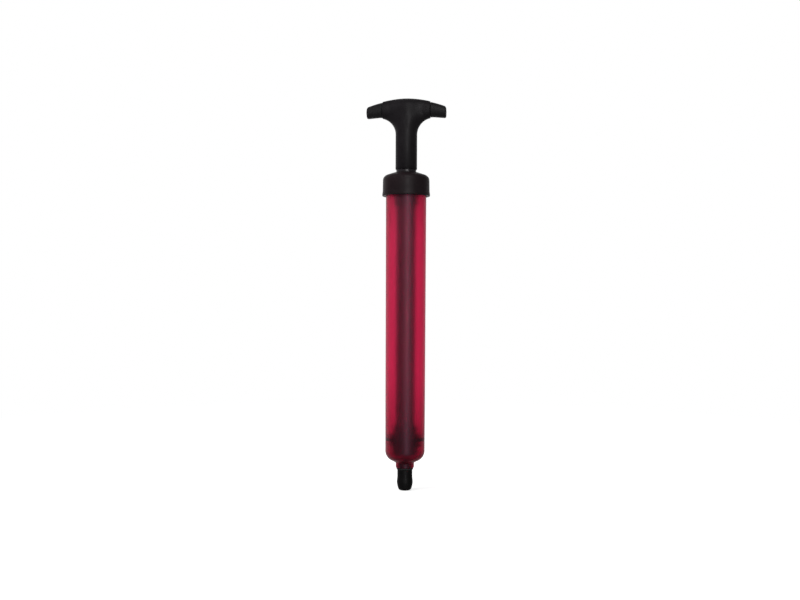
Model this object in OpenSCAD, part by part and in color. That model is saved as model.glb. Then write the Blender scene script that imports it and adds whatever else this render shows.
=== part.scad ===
// Hand ball pump: a T-handle plunger in a see-through barrel, with a needle socket at the foot.
// The axis is Z, the origin is the mouth of the needle socket, and the handle's arms lie along X.

/* [Barrel] */
// Inner diameter of the barrel
bore_d = 27.5; // [26:0.1:30]
// Inner length of the barrel, from its floor to its rim
bore_length = 217; // [150:1:260]
// Wall thickness at the foot
foot_wall = 1.55; // [1.2:0.05:2.2]
// Wall thickness at the rim, thicker by the mould's draft
rim_wall = 2; // [1.6:0.05:3]
// Thickness of the floor
floor_wall = 2.95; // [1.2:0.05:4]
// Outer radius of the rounded foot
foot_round = 8.2; // [4:0.1:8.4]
// Outer diameter of the neck
neck_d = 14.2; // [13.6:0.1:15.5]
// Length of the neck below the foot
neck_length = 4.8; // [4.5:0.05:10]
// Inner diameter of the neck
neck_bore_d = 11; // [10.4:0.1:12]
// Fillet between the neck and the foot
neck_fillet = 2; // [0.3:0.1:2.4]

/* [Cap] */
// Wall of the cap's skirt at the top
cap_wall = 2.25; // [1.5:0.05:3]
// Extra radius of the lip at the cap's rim
cap_lip = 0.5; // [0.2:0.05:1]
// Height of the lip
cap_lip_height = 1.5; // [0.8:0.1:3]
// Height over which the lip runs out into the skirt
cap_lip_taper = 2.2; // [1:0.1:4]
// Length of the skirt below the barrel's rim
cap_skirt = 13.6; // [9:0.1:20]
// Thickness of the cap's top at its centre
cap_top_wall = 3.2; // [1.6:0.1:4]
// Height of the low cone on the cap's top
cap_crown = 1.7; // [0.3:0.1:2]
// Radius of the cap's top edge
cap_edge = 4.5; // [2:0.1:5]

/* [Rod and guide] */
// Outer diameter of the plunger rod
rod_d = 15.6; // [14:0.1:15.8]
// Wall of the rod's tube
rod_wall = 1.5; // [1:0.1:2]
// Wall of the guide around the rod
guide_wall = 1.4; // [1:0.1:2.5]
// Length of the guide below the barrel's rim
guide_length = 21.4; // [10:0.1:30]
// Thickness of the guide's flange
guide_flange = 1.6; // [1:0.1:3]
// Width of the air grooves along the guide's bore
vent_d = 1.4; // [0.8:0.1:1.6]
// Number of air grooves
vent_count = 3; // [2:1:6]

/* [Handle] */
// Length of the handle across its arms
handle_span = 62; // [54:0.5:80]
// Height of the handle from the stem's end to its crown
handle_height = 55.6; // [48:0.1:66]
// Diameter of the stem
stem_d = 16.8; // [16:0.1:19]
// Gap between the stem's end and the cap when the plunger is in
stem_gap = 2.2; // [1:0.1:6]
// Chamfer at the stem's end
stem_chamfer = 0.5; // [0.2:0.1:1]
// Length of the handle's plug in the rod
handle_plug = 24; // [15:0.5:40]
// Diameter of the hole up the plug and the stem
core_d = 9; // [6:0.1:9.6]
// Length of that hole above the stem's end
core_length = 36.5; // [20:0.5:40]
// Height of the handle over the arms' underside
hub_height = 15.2; // [13:0.1:18]
// Fillet radius between the stem and the arms
hub_fillet = 13; // [9:0.1:15]
// Distance from the axis over which the hub's front ridge runs out
ridge_reach = 13; // [10:0.1:18]
// Radius of the crown's long arc
crown_radius = 75; // [65:1:110]
// Distance from the axis to the seam of each grip
seam_x = 18.6; // [16:0.1:21]
// Depth of the arms at the seam
seam_depth = 11.6; // [10:0.1:13]
// Depth of the arms at the tips
tip_depth = 10.2; // [9:0.1:12]
// How far the arms' underside drops at the tips
tip_flare = 0.4; // [0:0.1:1]
// Corner radius of the tips
tip_round = 1.3; // [1:0.1:3]
// Width of the seam between the handle and a grip
seam_gap = 0.35; // [0.2:0.05:0.8]
// How far the handle stands proud of the grip at the seam
seam_step = 0.55; // [0.2:0.05:0.8]
// Diameter of the spigot that holds a grip
grip_pin_d = 5.6; // [4:0.1:6]
// Length of that spigot
grip_pin_length = 7; // [4:0.1:8]

/* [Piston] */
// Gap between the piston's lowest piece and the barrel's floor
floor_gap = 0.3; // [0.2:0.05:1]
// Diameter of the journal that carries the piston
journal_d = 8; // [7:0.1:9]
// Diameter of the flange on the rod's end
rod_flange_d = 17.6; // [16.4:0.1:19]
// Thickness of that flange
rod_flange = 1.4; // [1:0.1:2.5]
// Length of the plug in the rod
plug_length = 14; // [8:0.5:30]
// Diameter of the piston's lower boss
boss_d = 22; // [18:0.1:25]
// Height of the boss
boss_height = 5.2; // [3:0.1:8]
// Height of the cone from the boss to the lower flange
lower_cone = 1.2; // [0.6:0.1:3]
// Thickness of the lower flange
lower_flange = 1.6; // [1:0.1:3]
// Width of the groove for the O-ring
groove_width = 5; // [4.4:0.1:6]
// Thickness of the upper flange
upper_flange = 1.4; // [1:0.1:3]
// Height of the cone on top of the piston
upper_cone = 1.5; // [0.8:0.1:3]
// Diameter of the top of that cone
upper_cone_d = 19; // [17:0.1:22]
// Thickness of the O-ring
cord_d = 3.5; // [3:0.1:4]
// Width of the air slots in the piston
slot_width = 3; // [2:0.1:4]
// Number of air slots
slot_count = 4; // [2:1:6]
// Outer diameter of the stop bumper
bumper_d = 19.2; // [18:0.1:22]
// Thickness of the bumper
bumper_height = 3.8; // [2:0.1:6]
// Edge radius of the bumper
bumper_round = 0.75; // [0.3:0.05:1]
// Diameter of the washer under the piston
piston_washer_d = 20; // [16:0.1:23]
// Thickness of that washer
piston_washer_t = 1.2; // [0.8:0.1:2]
// Diameter of the piston screw
screw_d = 4; // [3:0.1:5]
// Length of the screw below its head
screw_length = 12; // [8:0.5:14]
// Diameter of the screw's head
screw_head_d = 7.6; // [6.5:0.1:9]
// Height of the screw's head
screw_head = 1.6; // [1.2:0.1:2.4]

/* [Nozzle] */
// Diameter of the nozzle's body
nozzle_d = 11.7; // [11:0.1:13]
// Length of the nozzle below the neck
nozzle_length = 16; // [15:0.1:22]
// Extra radius of the finger bulge
nozzle_bulge = 0.35; // [0:0.05:0.8]
// Height of the bulge's middle
bulge_z = 6.6; // [5.5:0.1:8]
// Half length of the bulge
bulge_reach = 4.2; // [2:0.1:4.4]
// Height of the nozzle's rounded nose
nose_height = 5; // [1:0.1:6]
// Width of the flat lip round the socket's mouth
tip_lip = 0.25; // [0.2:0.05:0.8]
// Length of the nozzle inside the neck
spigot_length = 4.8; // [4:0.1:6]
// Diameter of the needle socket's thread
socket_d = 6.9; // [6:0.1:7.2]
// Depth of the needle socket
socket_depth = 9; // [6:0.1:10]
// Outer diameter of the needle gasket
gasket_d = 7.5; // [7.4:0.1:8.2]
// Thickness of the needle gasket
gasket_t = 1.2; // [0.8:0.1:1.6]
// Thickness of the web below the spring
web_t = 2.4; // [1.6:0.1:3]
// Diameter of the air passage
air_d = 2.6; // [2:0.1:3]
// Outer diameter of the nozzle washer
washer_d = 13; // [12.6:0.1:14]
// Thickness of the nozzle washer
washer_t = 1.6; // [1:0.1:2.5]

/* [Check valve] */
// Diameter of the valve chamber
chamber_d = 6.6; // [6:0.1:7]
// Diameter of the seat's plug
seat_plug_d = 7.9; // [7.4:0.1:8.4]
// Length of the seat's plug
seat_plug = 2.1; // [1.5:0.1:2.6]
// Thickness of the seat's flange
seat_flange = 1.2; // [0.8:0.1:1.5]
// Diameter of the inlet hole
inlet_d = 2.4; // [1.6:0.1:3]
// Gap between the seat and the closed disc
valve_gap = 0.1; // [0.05:0.05:0.2]
// Travel of the valve
valve_lift = 1.5; // [0.8:0.1:1.6]
// Diameter of the rubber disc
disc_d = 5.5; // [4.6:0.1:5.8]
// Thickness of the disc
disc_t = 1.4; // [1:0.1:1.8]
// Diameter of the poppet's head
poppet_d = 5.2; // [4.9:0.1:5.8]
// Thickness of the poppet's head
poppet_t = 1.5; // [1:0.1:1.8]
// Diameter of the poppet's stem
poppet_stem_d = 2.2; // [1.6:0.1:3]
// Diameter of the nib that holds the disc
nib_d = 1.6; // [1:0.1:2]
// Mean diameter of the spring
spring_d = 4.2; // [4:0.1:4.6]
// Diameter of the spring's wire
wire_d = 0.4; // [0.3:0.05:0.45]
// Number of turns
spring_turns = 4.5; // [3:0.5:5]

/* [Fits] */
// Radial clearance of pieces pressed together
press_clearance = 0.05; // [0.02:0.01:0.08]
// Radial clearance of pieces that slide or turn
running_clearance = 0.08; // [0.03:0.01:0.1]
// Radial clearance of screwed pieces
thread_clearance = 0.1; // [0.05:0.01:0.15]
// Gap around the O-ring
seal_gap = 0.05; // [0.03:0.01:0.1]
// Axial play of pieces that turn on each other
end_play = 0.15; // [0.1:0.01:0.3]
// Radial gap between the piston's flanges and the bore
piston_clearance = 0.55; // [0.3:0.05:0.8]
// Gap left between the bumper and the guide at full stroke
stroke_margin = 0.5; // [0.3:0.1:2]

/* [Hidden] */

// Steps of true circles, and how far a cut runs past the face it opens
round_fn = 96;
past = 1;

// Heights of the nozzle and the check valve
gasket_z = socket_depth + gasket_t;
spring_z = gasket_z + web_t;
neck_end_z = nozzle_length + washer_t;
nozzle_top_z = neck_end_z + spigot_length;
seat_z = nozzle_top_z - seat_plug;
disc_z = seat_z - valve_gap - disc_t;
poppet_z = disc_z - poppet_t;
spigot_r = neck_bore_d / 2 - thread_clearance;
seat_bore_r = seat_plug_d / 2 + press_clearance;
gasket_bore_r = gasket_d / 2 + press_clearance;

// Heights of the barrel, the guide and the cap
bore_r = bore_d / 2;
foot_r = bore_r + foot_wall;
rim_r = bore_r + rim_wall;
foot_z = neck_end_z + neck_length;
floor_z = foot_z + floor_wall;
rim_z = floor_z + bore_length;
ceiling_z = rim_z + guide_flange;
cap_top_z = ceiling_z + cap_top_wall;
cap_rim_z = rim_z - cap_skirt;
guide_end_z = rim_z - guide_length;
rod_r = rod_d / 2;
guide_bore_r = rod_r + running_clearance;
guide_r = guide_bore_r + guide_wall;
cap_bore_r = rim_r + thread_clearance;
cap_r = cap_bore_r + cap_wall;

// Heights of the plunger, from the screw's head upwards
screw_z = floor_z + floor_gap;
piston_washer_z = screw_z + screw_head;
journal_z = piston_washer_z + piston_washer_t;
piston_z = journal_z + end_play;
lower_flange_z = piston_z + boss_height + lower_cone;
groove_z = lower_flange_z + lower_flange;
groove_top_z = groove_z + groove_width;
piston_top_z = groove_top_z + upper_flange + upper_cone;
rod_flange_z = piston_top_z + end_play;
rod_z = rod_flange_z + rod_flange;
bumper_top_z = rod_z + bumper_height;
flange_r = bore_r - piston_clearance;
ring_r = bore_r - seal_gap - cord_d / 2;
core_r = ring_r - cord_d / 2 - 2 * seal_gap;
ring_z = groove_top_z - seal_gap - cord_d / 2;
screw_bore_r = screw_d / 2 + press_clearance;
rod_bore_r = rod_r - rod_wall;

// Heights of the handle
stem_r = stem_d / 2;
stem_z = cap_top_z + stem_gap;
crown_z = stem_z + handle_height;
underside_z = crown_z - hub_height;
fillet_x = stem_r + hub_fillet;
fillet_z = underside_z - hub_fillet;
tip_x = handle_span / 2;
grip_x = seam_x + seam_gap;
grip_pin_z = (arm_top(seam_x + grip_pin_length) + underside_z) / 2;

// Travel of the plunger and of the floating O-ring
stroke = guide_end_z - bumper_top_z - stroke_margin;
ring_float = groove_width - cord_d - 2 * seal_gap;
echo(stroke = stroke, ring_float = ring_float, overall = crown_z);

// A turned solid from a half outline, drawn with X as the radius and Y as the height
module turned() {
    rotate_extrude($fn = round_fn) children();
}

// Half outline of a ring between two radii and two heights
module ring(inner_r, outer_r, low, high) {
    translate([inner_r, low]) square([outer_r - inner_r, high - low]);
}

// Half outline of a cup whose lower edge is rounded
module round_foot(r, edge, low, high) {
    ring(0, r - edge, low, high);
    ring(0, r, low + edge, high);
    intersection() {
        translate([r - edge, low + edge]) circle(edge, $fn = round_fn);
        ring(0, r, low, high);
    }
}

// Points on an arc of a half outline, from one angle to another
function arc(centre, r, from, to, steps) =
    [for (i = [0:steps]) let (a = from + (to - from) * i / steps) centre + r * [cos(a), sin(a)]];

// Barrel: a drafted tube with a rounded foot and a neck
module barrel_outline() {
    round_foot(foot_r, foot_round, foot_z, foot_z + 2 * foot_round);
    polygon([
        [0, foot_z + foot_round], [foot_r, foot_z + foot_round], [rim_r, rim_z], [0, rim_z]
    ]);
    ring(0, neck_d / 2, neck_end_z, foot_z + floor_wall);
    difference() {
        ring(0, neck_d / 2 + neck_fillet, foot_z - neck_fillet, foot_z + floor_wall);
        translate([neck_d / 2 + neck_fillet, foot_z - neck_fillet]) circle(neck_fillet, $fn = round_fn);
    }
}

module barrel() {
    color("crimson", 0.6)
        turned() difference() {
            barrel_outline();
            round_foot(bore_r, foot_round - foot_wall, floor_z, rim_z + past);
            ring(0, neck_bore_d / 2, neck_end_z - past, floor_z + past);
        }
}

// Cap: a skirt with a lip, a rounded top edge and a low cone round the guide
cap_hole_r = guide_r + press_clearance;
cone_reach = cap_r - cap_edge - cap_hole_r;
cone_drop = cap_crown + cap_edge;
cone_slope = atan2(cone_drop, cone_reach) - asin(cap_edge / norm([cone_reach, cone_drop]));
edge_steps = 12;

module cap_outline() {
    polygon(concat(
        [
            [0, cap_rim_z],
            [cap_r + cap_lip, cap_rim_z],
            [cap_r + cap_lip, cap_rim_z + cap_lip_height],
            [cap_r + cap_lip / 3, cap_rim_z + cap_lip_height + cap_lip_taper]
        ],
        arc([cap_r - cap_edge, cap_top_z - cone_drop], cap_edge, 0, 90 - cone_slope, edge_steps),
        [[cap_hole_r, cap_top_z], [0, cap_top_z]]
    ));
}

module cap() {
    color("#242224")
        turned() difference() {
            cap_outline();
            ring(0, cap_bore_r, cap_rim_z - past, ceiling_z);
            ring(0, cap_hole_r, cap_rim_z, cap_top_z + past);
        }
}

// Guide: a flanged bush clamped on the barrel's rim, with air grooves along its bore
guide_top_z = cap_top_z - cap_crown / 2;
guide_chamfer = guide_wall / 3;

module rod_guide() {
    color("#1c1b1d") difference() {
        turned() {
            polygon([
                [guide_bore_r, guide_end_z], [guide_r - guide_chamfer, guide_end_z],
                [guide_r, guide_end_z + guide_chamfer], [guide_r, guide_top_z], [guide_bore_r, guide_top_z]
            ]);
            ring(guide_bore_r, rim_r - press_clearance, rim_z, ceiling_z);
        }
        for (i = [0:vent_count - 1])
            rotate((i + 0.5) * 360 / vent_count) translate([guide_bore_r, 0, guide_end_z - past])
                cylinder(d = vent_d, h = guide_top_z - guide_end_z + 2 * past, $fn = 32);
    }
}

// Nozzle: a body with a rounded nose and a finger bulge, the needle socket below and the valve chamber above
nose_depth = nozzle_d / 2 - socket_d / 2 - tip_lip;
function bulge(z) =
    abs(z - bulge_z) < bulge_reach ? nozzle_bulge * (1 + cos(180 * (z - bulge_z) / bulge_reach)) / 2 : 0;
function nose_cut(z) =
    z < nose_height ? nose_depth * (1 - sqrt(1 - pow(1 - z / nose_height, 2))) : 0;
function nozzle_point(z) = [nozzle_d / 2 + bulge(z) - nose_cut(z), z];

nose_steps = 9;
bulge_steps = 10;
bulge_length = bulge_z + bulge_reach - nose_height;

module nozzle_outline() {
    polygon(concat(
        [[0, 0]],
        [for (i = [0:nose_steps]) nozzle_point(nose_height * (1 - cos(90 * i / nose_steps)))],
        [for (i = [1:bulge_steps]) nozzle_point(nose_height + bulge_length * i / bulge_steps)],
        [
            [nozzle_d / 2, nozzle_length], [spigot_r, nozzle_length],
            [spigot_r, nozzle_top_z], [0, nozzle_top_z]
        ]
    ));
}

module nozzle() {
    color("#171617")
        turned() difference() {
            nozzle_outline();
            ring(0, socket_d / 2, -past, socket_depth);
            ring(0, gasket_bore_r, socket_depth, gasket_z);
            ring(0, air_d / 2, socket_depth, spring_z + past);
            ring(0, chamber_d / 2, spring_z, nozzle_top_z + past);
            ring(0, seat_bore_r, seat_z, nozzle_top_z + past);
        }
}

module nozzle_washer() {
    color("#2b2a2c")
        turned() ring(spigot_r + press_clearance, washer_d / 2, nozzle_length, neck_end_z);
}

module needle_gasket() {
    color("#2b2a2c")
        turned() ring(air_d / 2, gasket_d / 2, socket_depth, gasket_z);
}

// Check valve: a flanged seat, a poppet with a rubber disc, and a spring that lifts them to the seat
module valve_seat() {
    color("#1c1b1d")
        turned() {
            ring(inlet_d / 2, seat_plug_d / 2, seat_z, nozzle_top_z);
            ring(inlet_d / 2, spigot_r, nozzle_top_z, nozzle_top_z + seat_flange);
        }
}

poppet_stem_z = spring_z + valve_lift + end_play;
nib_top_z = disc_z + disc_t - 2 * valve_gap;

module valve_poppet() {
    color("#d8d4c8")
        turned() {
            ring(0, poppet_d / 2, poppet_z, disc_z);
            ring(0, poppet_stem_d / 2, poppet_stem_z, disc_z);
            ring(0, nib_d / 2, poppet_z, nib_top_z);
        }
}

module valve_disc() {
    color("#2b2a2c")
        turned() ring(nib_d / 2 + press_clearance, disc_d / 2, disc_z, disc_z + disc_t);
}

spring_rings = 8;
spring_sides = 6;
spring_count = round(spring_turns * spring_rings);
spring_low = spring_z + wire_d / 2 + valve_gap / 2;
spring_high = poppet_z - wire_d / 2 - valve_gap / 2;

function coil_point(i) =
    let (
        a = 360 * i / spring_rings,
        z = spring_low + (spring_high - spring_low) * i / spring_count
    )
    [spring_d / 2 * cos(a), spring_d / 2 * sin(a), z];

coil_gap = min([
    for (i = [0:spring_count]) for (j = [i + spring_rings / 2:1:spring_count])
        norm(coil_point(i) - coil_point(j))
]) - wire_d;
echo(least_gap_between_turns = coil_gap);

module valve_spring() {
    lead = atan((spring_high - spring_low) / spring_turns / (PI * spring_d));
    points = [
        for (i = [0:spring_count]) for (k = [0:spring_sides - 1])
            let (
                a = 360 * i / spring_rings,
                b = 360 * k / spring_sides,
                outward = [cos(a), sin(a), 0],
                upward = [sin(a) * sin(lead), -cos(a) * sin(lead), cos(lead)]
            )
            coil_point(i) + wire_d / 2 * (cos(b) * outward + sin(b) * upward)
    ];
    sides = [
        for (i = [0:spring_count - 1]) for (k = [0:spring_sides - 1])
            let (
                a = i * spring_sides + k,
                b = i * spring_sides + (k + 1) % spring_sides
            )
            each [[a, b, b + spring_sides], [a, b + spring_sides, a + spring_sides]]
    ];
    last = spring_count * spring_sides;
    ends = [
        [for (k = [spring_sides - 1:-1:0]) k],
        [for (k = [0:spring_sides - 1]) last + k]
    ];
    color("silver") polyhedron(points, concat(sides, ends));
}

// Piston: a spool on the rod's journal, with slots that let air past the lowered O-ring
slot_floor_r = core_r - cord_d / 4;
slot_top_z = groove_top_z - cord_d / 2;

module piston_head() {
    color("#1c1b1d") difference() {
        turned() polygon([
            [journal_d / 2 + running_clearance, piston_z],
            [boss_d / 2, piston_z],
            [boss_d / 2, piston_z + boss_height],
            [flange_r, lower_flange_z],
            [flange_r, groove_z],
            [core_r, groove_z],
            [core_r, groove_top_z],
            [flange_r, groove_top_z],
            [flange_r, groove_top_z + upper_flange],
            [upper_cone_d / 2, piston_top_z],
            [journal_d / 2 + running_clearance, piston_top_z]
        ]);
        for (i = [0:slot_count - 1])
            rotate((i + 0.5) * 360 / slot_count)
                translate([slot_floor_r, -slot_width / 2, piston_z + boss_height])
                    cube([bore_r, slot_width, slot_top_z - piston_z - boss_height]);
    }
}

module o_ring() {
    color("#2b2a2c")
        turned() translate([ring_r, ring_z]) circle(d = cord_d, $fn = round_fn);
}

// Rod: a tube from the piston's flange to the stem's end
module rod() {
    color("#2a282a")
        turned() ring(rod_bore_r, rod_r, rod_z, stem_z);
}

module rod_end() {
    color("#1c1b1d")
        turned() difference() {
            union() {
                ring(0, journal_d / 2, journal_z, rod_z);
                ring(0, rod_flange_d / 2, rod_flange_z, rod_z);
                ring(0, rod_bore_r - press_clearance, rod_flange_z, rod_z + plug_length);
            }
            ring(0, screw_bore_r, journal_z - past, journal_z + screw_length);
        }
}

module piston_washer() {
    color("#38383c")
        turned() ring(screw_bore_r, piston_washer_d / 2, piston_washer_z, journal_z);
}

hex_key = screw_d / 2;
screw_crown = screw_head / 3;

module piston_screw() {
    color("#38383c") difference() {
        turned() {
            polygon([
                [0, screw_z], [screw_head_d / 2 - screw_crown, screw_z],
                [screw_head_d / 2, screw_z + screw_crown], [screw_head_d / 2, piston_washer_z],
                [0, piston_washer_z]
            ]);
            ring(0, screw_d / 2, screw_z + screw_crown, piston_washer_z + screw_length - press_clearance);
        }
        translate([0, 0, screw_z - past])
            cylinder(d = hex_key, h = past + screw_head / 2, $fn = 6);
    }
}

module stop_bumper() {
    inner_r = rod_r + press_clearance;
    outer_r = bumper_d / 2;
    color("#2b2a2c")
        turned() {
            ring(inner_r, outer_r - bumper_round, rod_z, bumper_top_z);
            ring(inner_r, outer_r, rod_z + bumper_round, bumper_top_z - bumper_round);
            for (z = [rod_z + bumper_round, bumper_top_z - bumper_round])
                translate([outer_r - bumper_round, z]) circle(bumper_round, $fn = round_fn);
        }
}

// Handle outline in X and Z: the crown's long arc above, the stem and its fillets below
function arm_top(x) = crown_z - crown_radius + sqrt(crown_radius * crown_radius - x * x);
function arm_under(x) =
    x < fillet_x ? fillet_z + sqrt(hub_fillet * hub_fillet - (fillet_x - x) * (fillet_x - x))
        : underside_z - tip_flare * (x - fillet_x) / (tip_x - fillet_x);
function inset_below(x, z) =
    z < fillet_z ? stem_r - x : norm([fillet_x - x, z - fillet_z]) - hub_fillet;

// How round the surface is at a distance inside the outline, from 0 at the edge to 1
function swell(inset, reach) =
    inset >= reach ? 1 : let (t = 1 - max(inset, 0) / reach) sqrt(1 - t * t);

// Half depth of the handle at the belt: a ridge on the axis that runs out into the arms
function ridge_depth(x) =
    seam_depth / 2 + (stem_r - seam_depth / 2) * (1 + cos(180 * min(1, x / ridge_reach))) / 2;

// The belt is the line along the arm where it is deepest
function belt_z(x) = arm_top(x) - min(stem_r, (arm_top(x) - arm_under(max(x, stem_r))) / 2);

// Below the belt, rows run up the stem, round the fillet and out along the arm,
// and columns run inwards to the belt
columns = 9;
stem_rows = 2;
low_rows = 8;
arm_rows = 12;
belt_row = stem_rows + low_rows;
last_row = belt_row + arm_rows;
belt_angle = atan2(belt_z(0) - fillet_z, fillet_x);
seam_angle = acos((fillet_x - seam_x) / hub_fillet);

function fillet_point(a) = [fillet_x - hub_fillet * cos(a), fillet_z + hub_fillet * sin(a)];
function arm_x(i) = seam_x * i / arm_rows;
function row_low(i) =
    i == 0 ? [stem_r - stem_chamfer, stem_z]
        : i == 1 ? [stem_r, stem_z + stem_chamfer]
        : i <= belt_row ? fillet_point(belt_angle * (i - stem_rows) / low_rows)
        : fillet_point(belt_angle + (seam_angle - belt_angle) * (i - belt_row) / arm_rows);
function row_high(i) =
    i <= 1 ? [0, row_low(i)[1]]
        : i <= belt_row ? [0, fillet_z + (belt_z(0) - fillet_z) * (i - stem_rows) / low_rows]
        : let (x = arm_x(i - belt_row)) [x, belt_z(x)];
function row_reach(i) = min(stem_r, inset_below(row_high(i)[0], row_high(i)[1]));

// Half depth in a row, from the stem's round to the ridge
function row_rise(i) =
    let (t = min(1, max(0, (i - stem_rows) / low_rows))) t * t * (3 - 2 * t);
function row_depth(i, x) = stem_r + (ridge_depth(x) - stem_r) * row_rise(i);

// A point of the front right quarter of the handle, below the belt
function hub_point(i, k) =
    let (
        p = row_low(i) + (row_high(i) - row_low(i)) * (1 - cos(90 * k / columns)),
        half = i == 0 ? row_low(0)[0] * sin(90 * k / columns)
            : row_depth(i, p[0]) * swell(inset_below(p[0], p[1]), row_reach(i))
    )
    [p[0], k == 0 ? 0 : -half, p[1]];

quarter_points = [for (i = [0:last_row]) for (k = [0:columns]) hub_point(i, k)];
quarter_size = len(quarter_points);

// Above the belt, half ellipses cross the crown from the front to the back
crown_steps = 12;

function crown_point(i, m) =
    let (x = arm_x(i), a = 180 * m / crown_steps)
    [x, -ridge_depth(x) * cos(a), belt_z(x) + (arm_top(x) - belt_z(x)) * sin(a)];

crown_points = [for (i = [0:arm_rows]) for (m = [1:crown_steps - 1]) crown_point(i, m)];
crown_size = len(crown_points);

// The quarters share the points on their common edges. Side and face are 0 or 1: right or left, front or back
function hub_index(side, face, i, k) =
    let (
        one_side = k == columns && i <= belt_row ? 0 : side,
        one_face = k == 0 ? 0 : face
    )
    (2 * one_side + one_face) * quarter_size + i * (columns + 1) + k;

function crown_index(side, i, m) =
    m == 0 ? hub_index(side, 0, belt_row + i, columns)
        : m == crown_steps ? hub_index(side, 1, belt_row + i, columns)
        : 4 * quarter_size + (i == 0 ? 0 : side) * crown_size + i * (crown_steps - 1) + m - 1;

function turn_over(face, over) = over ? [for (i = [len(face) - 1:-1:0]) face[i]] : face;
function quad(a, b, c, d, over) = [turn_over([a, b, c], over), turn_over([a, c, d], over)];

module handle_form() {
    points = concat(
        [for (side = [1, -1]) for (face = [1, -1]) for (p = quarter_points) [side * p[0], face * p[1], p[2]]],
        [for (side = [1, -1]) for (p = crown_points) [side * p[0], p[1], p[2]]]
    );
    skin = [
        for (side = [0, 1]) for (face = [0, 1]) for (i = [0:last_row - 1]) for (k = [0:columns - 1])
            each quad(
                hub_index(side, face, i, k), hub_index(side, face, i, k + 1),
                hub_index(side, face, i + 1, k + 1), hub_index(side, face, i + 1, k),
                side != face
            )
    ];
    crown = [
        for (side = [0, 1]) for (i = [0:arm_rows - 1]) for (m = [0:crown_steps - 1])
            each quad(
                crown_index(side, i, m), crown_index(side, i, m + 1),
                crown_index(side, i + 1, m + 1), crown_index(side, i + 1, m),
                side == 1
            )
    ];
    foot = [
        for (k = [0:columns]) hub_index(0, 0, 0, k),
        for (k = [columns - 1:-1:0]) hub_index(1, 0, 0, k),
        for (k = [1:columns]) hub_index(1, 1, 0, k),
        for (k = [columns - 1:-1:1]) hub_index(0, 1, 0, k)
    ];
    ends = [
        for (side = [0, 1]) turn_over([
            for (k = [0:columns]) hub_index(side, 0, last_row, k),
            for (m = [1:crown_steps - 1]) crown_index(side, arm_rows, m),
            for (k = [columns:-1:1]) hub_index(side, 1, last_row, k)
        ], side == 1)
    ];
    polyhedron(points, concat(skin, crown, [turn_over(foot, true)], ends));
}

module handle() {
    color("#242224") difference() {
        union() {
            handle_form();
            translate([-seam_x - grip_pin_length, 0, grip_pin_z]) rotate([0, 90, 0])
                cylinder(d = grip_pin_d, h = 2 * (seam_x + grip_pin_length), $fn = round_fn);
            translate([0, 0, stem_z - handle_plug])
                cylinder(r = rod_bore_r - press_clearance, h = handle_plug + past, $fn = round_fn);
        }
        translate([0, 0, stem_z - handle_plug - past])
            cylinder(d = core_d, h = past + handle_plug + core_length, $fn = round_fn);
    }
}

// Grip: the arm's end, lofted along X with a rounded tip
grip_sides = 28;
grip_rings = 8;
tip_rings = 4;

function grip_station(i) =
    i <= grip_rings ? [grip_x + (tip_x - tip_round - grip_x) * i / grip_rings, 0]
        : let (a = 90 * (i - grip_rings) / tip_rings)
            [tip_x - tip_round * (1 - sin(a)), tip_round * (1 - cos(a))];

function grip_ring(station) =
    let (
        x = station[0],
        share = (x - seam_x) / (tip_x - seam_x),
        inset = station[1] + seam_step * (1 - share),
        high = arm_top(x) - inset,
        low = arm_under(x) + inset,
        half_depth = (seam_depth + (tip_depth - seam_depth) * share) / 2 - inset
    )
    [for (k = [0:grip_sides - 1])
        let (a = 360 * k / grip_sides)
        [x, half_depth * cos(a), (high + low) / 2 + (high - low) / 2 * sin(a)]];

module grip() {
    stations = grip_rings + tip_rings;
    points = [for (i = [0:stations]) each grip_ring(grip_station(i))];
    skin = [
        for (i = [0:stations - 1]) for (k = [0:grip_sides - 1])
            let (
                a = i * grip_sides + k,
                b = i * grip_sides + (k + 1) % grip_sides
            )
            each [[a, a + grip_sides, b + grip_sides], [a, b + grip_sides, b]]
    ];
    ends = [
        [for (k = [0:grip_sides - 1]) k],
        [for (k = [grip_sides - 1:-1:0]) stations * grip_sides + k]
    ];
    color("#1f1d1f") difference() {
        polyhedron(points, concat(skin, ends));
        translate([seam_x, 0, grip_pin_z]) rotate([0, 90, 0])
            cylinder(d = grip_pin_d + 2 * press_clearance, h = grip_pin_length + seam_gap, $fn = round_fn);
    }
}

module right_grip() {
    grip();
}

module left_grip() {
    mirror([1, 0, 0]) grip();
}

barrel();
cap();
rod_guide();
nozzle();
nozzle_washer();
needle_gasket();
valve_seat();
valve_poppet();
valve_disc();
valve_spring();
piston_head();
o_ring();
rod();
rod_end();
piston_washer();
piston_screw();
stop_bumper();
handle();
left_grip();
right_grip();
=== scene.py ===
from math import acos, atan2, ceil, cos, hypot, pi, radians, sin, sqrt, tan

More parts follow.
